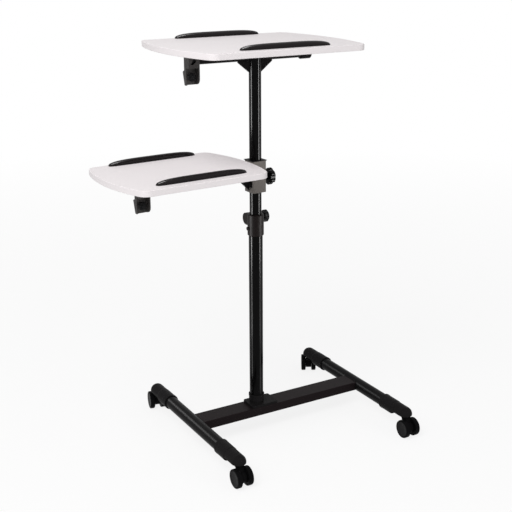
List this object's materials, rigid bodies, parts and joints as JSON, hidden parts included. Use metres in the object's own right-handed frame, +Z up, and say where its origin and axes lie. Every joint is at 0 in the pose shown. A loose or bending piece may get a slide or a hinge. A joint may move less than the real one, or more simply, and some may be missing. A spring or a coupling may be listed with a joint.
{
  "type": "projector table",
  "caption": "Rolling projector table: telescopic column on an H-shaped caster base, with a tilting top board and a clamped, swivelling side board, both with stop strips.",
  "frame": {"origin": "centre of the overall footprint on the floor, under the middle of the bounding box", "axes": "+Z up, +X along the crossbar away from the side board, -Y towards the viewer"},
  "size_m": [0.8094, 0.5804, 1.0953],
  "materials": {
    "black_tube": "satin black powder coat",
    "black_plastic": "fine matt texture",
    "knob_plastic": "semi-matt moulding",
    "white_board": "white melamine on board, matt",
    "stop_plastic": "smooth moulding with soft sheen",
    "clamp_steel": "satin grey-black paint",
    "wheel_plastic": "moulded plastic wheel"
  },
  "bodies": {
    "base": {"left_leg_tube": "black_tube", "right_leg_tube": "black_tube", "crossbar": "black_tube", "column_foot": "black_plastic", "lower_tube": "black_tube", "height_collar": "black_plastic", "front_left_leg_cap": "black_plastic", "back_left_leg_cap": "black_plastic", "front_right_leg_cap": "black_plastic", "back_right_leg_cap": "black_plastic"},
    "height_knob": {"height_knob": "knob_plastic"},
    "mast": {"upper_tube": "black_tube", "upper_rail": "black_tube", "left_gusset": "black_tube", "right_gusset": "black_tube"},
    "upper_shelf": {"upper_board": "white_board", "upper_front_stop": "stop_plastic", "upper_back_stop": "stop_plastic", "upper_saddle": "black_plastic", "upper_tilt_clamp": "clamp_steel"},
    "upper_tilt_knob": {"upper_tilt_knob": "knob_plastic"},
    "side_bush": {"side_bush": "black_plastic"},
    "side_arm": {"side_clamp_block": "clamp_steel", "side_rail": "black_tube", "side_gusset": "black_tube"},
    "side_clamp_knob": {"side_clamp_knob": "knob_plastic"},
    "side_shelf": {"side_board": "white_board", "side_front_stop": "stop_plastic", "side_back_stop": "stop_plastic", "side_saddle": "black_plastic", "side_tilt_clamp": "clamp_steel"},
    "side_tilt_knob": {"side_tilt_knob": "knob_plastic"},
    "front_left_caster": {"front_left_caster_body": "black_plastic"},
    "front_left_wheels": {"front_left_wheels": "wheel_plastic"},
    "back_left_caster": {"back_left_caster_body": "black_plastic"},
    "back_left_wheels": {"back_left_wheels": "wheel_plastic"},
    "front_right_caster": {"front_right_caster_body": "black_plastic"},
    "front_right_wheels": {"front_right_wheels": "wheel_plastic"},
    "back_right_caster": {"back_right_caster_body": "black_plastic"},
    "back_right_wheels": {"back_right_wheels": "wheel_plastic"}
  },
  "joints": [
    {"name": "height_slide", "type": "slide", "parent": "base", "child": "mast", "axis": [0, 0, 1], "range_m": [-0.05, 0.15]},
    {"name": "height_knob_turn", "type": "hinge", "parent": "base", "child": "height_knob", "pos_m": [0.0693, 0.0293, 0.6115], "axis": [1, 0, 0], "range_deg": [0, 360]},
    {"name": "upper_tilt", "type": "hinge", "parent": "mast", "child": "upper_shelf", "pos_m": [0.0293, -0.0027, 1.046], "axis": [1, 0, 0], "range_deg": [-20, 20]},
    {"name": "upper_tilt_knob_turn", "type": "hinge", "parent": "upper_shelf", "child": "upper_tilt_knob", "pos_m": [-0.1545, -0.0107, 1.0063], "axis": [0, -1, 0], "range_deg": [0, 360]},
    {"name": "side_slide", "type": "slide", "parent": "mast", "child": "side_bush", "axis": [0, 0, -1], "range_m": [-0.1, 0.05]},
    {"name": "side_swivel", "type": "hinge", "parent": "side_bush", "child": "side_arm", "pos_m": [0.0293, -0.0027, 0.735], "axis": [0, 0, 1], "continuous": true},
    {"name": "side_clamp_knob_turn", "type": "hinge", "parent": "side_arm", "child": "side_clamp_knob", "pos_m": [0.06722, -0.00025, 0.728], "axis": [0.9979, 0.0645, 0], "range_deg": [0, 360]},
    {"name": "side_tilt", "type": "hinge", "parent": "side_arm", "child": "side_shelf", "pos_m": [-0.20471, -0.01783, 0.7439], "axis": [0.9979, 0.0645, 0], "range_deg": [-20, 20]},
    {"name": "side_tilt_knob_turn", "type": "hinge", "parent": "side_shelf", "child": "side_tilt_knob", "pos_m": [-0.30878, -0.03258, 0.7042], "axis": [0.0645, -0.9979, 0], "range_deg": [0, 360]},
    {"name": "front_left_swivel", "type": "hinge", "parent": "base", "child": "front_left_caster", "pos_m": [-0.1657, -0.2527, 0.06], "axis": [0, 0, 1], "continuous": true},
    {"name": "front_left_roll", "type": "hinge", "parent": "front_left_caster", "child": "front_left_wheels", "pos_m": [-0.1657, -0.2647, 0.0255], "axis": [1, 0, 0], "continuous": true},
    {"name": "back_left_swivel", "type": "hinge", "parent": "base", "child": "back_left_caster", "pos_m": [-0.1657, 0.2473, 0.06], "axis": [0, 0, 1], "continuous": true},
    {"name": "back_left_roll", "type": "hinge", "parent": "back_left_caster", "child": "back_left_wheels", "pos_m": [-0.1632, 0.25904, 0.0255], "axis": [0.9781, -0.2079, 0], "continuous": true},
    {"name": "front_right_swivel", "type": "hinge", "parent": "base", "child": "front_right_caster", "pos_m": [0.3673, -0.2527, 0.06], "axis": [0, 0, 1], "continuous": true},
    {"name": "front_right_roll", "type": "hinge", "parent": "front_right_caster", "child": "front_right_wheels", "pos_m": [0.3673, -0.2647, 0.0255], "axis": [1, 0, 0], "continuous": true},
    {"name": "back_right_swivel", "type": "hinge", "parent": "base", "child": "back_right_caster", "pos_m": [0.3673, 0.2473, 0.06], "axis": [0, 0, 1], "continuous": true},
    {"name": "back_right_roll", "type": "hinge", "parent": "back_right_caster", "child": "back_right_wheels", "pos_m": [0.3733, 0.25769, 0.0255], "axis": [0.866, -0.5, 0], "continuous": true}
  ]
}
